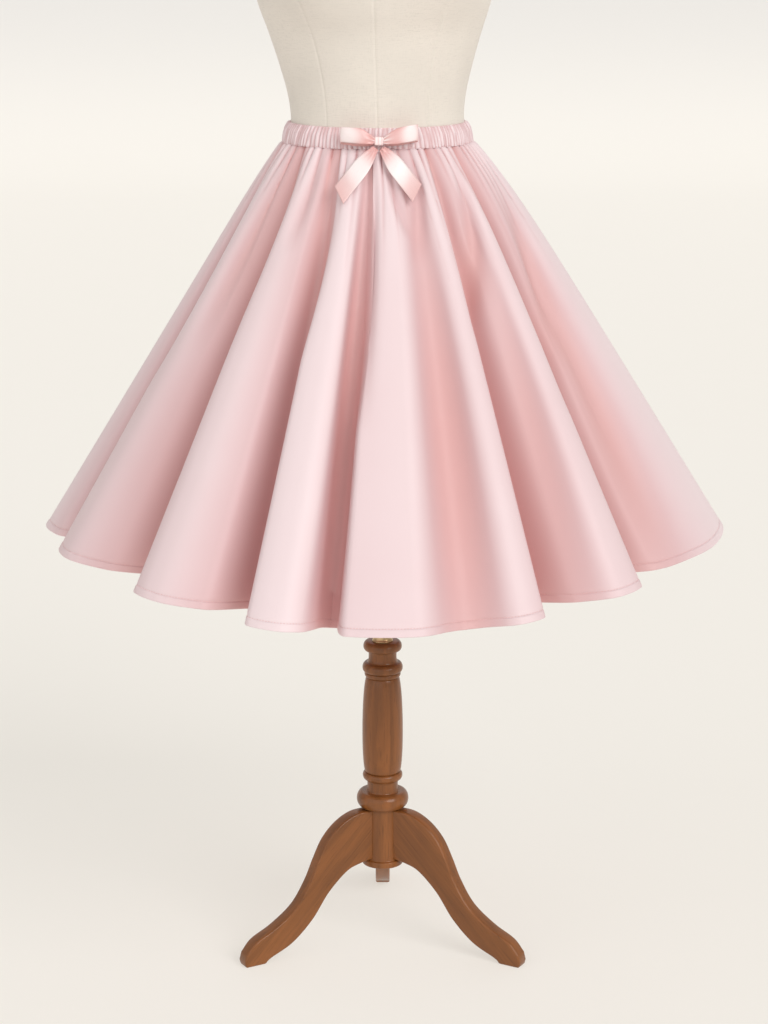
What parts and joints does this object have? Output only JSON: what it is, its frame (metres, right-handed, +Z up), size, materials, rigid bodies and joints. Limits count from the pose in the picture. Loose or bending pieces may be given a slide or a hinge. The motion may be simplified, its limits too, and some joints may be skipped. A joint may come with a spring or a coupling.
{
  "type": "circle skirt on a dress form",
  "caption": "Knee-length circle skirt with a gathered elastic waistband and a satin bow, worn by a limbless dress form on a turned wooden stand.",
  "frame": {"origin": "on the floor under the pole, at the middle of the stand", "axes": "+Z up along the pole, -Y out of the front of the skirt, +X towards the side that is on the right when the skirt is seen from the front"},
  "size_m": [0.957, 0.9168, 1.6547],
  "materials": {
    "skirt_satin": "soft dull satin",
    "bow_ribbon": "glossy satin ribbon",
    "form_linen": "plain woven linen",
    "stand_wood": "satin varnish",
    "pole_brass": "brushed"
  },
  "bodies": {
    "stand": {"column": "stand_wood", "hub": "stand_wood", "leg_left": "stand_wood", "leg_right": "stand_wood", "leg_back": "stand_wood", "ferrule": "pole_brass"},
    "mast": {"pole": "pole_brass"},
    "worn": {"dress_form": "form_linen", "skirt_front": "skirt_satin", "skirt_back": "skirt_satin", "waistband": "skirt_satin", "bow_knot": "bow_ribbon", "bow_loop_left": "bow_ribbon", "bow_loop_right": "bow_ribbon", "bow_tail_left": "bow_ribbon", "bow_tail_right": "bow_ribbon"}
  },
  "joints": [
    {"name": "height", "type": "slide", "parent": "stand", "child": "mast", "axis": [0, 0, 1], "range_m": [-0.1, 0.1]},
    {"name": "turn", "type": "hinge", "parent": "mast", "child": "worn", "pos_m": [0, 0, 0.9], "axis": [0, 0, 1], "continuous": true}
  ]
}
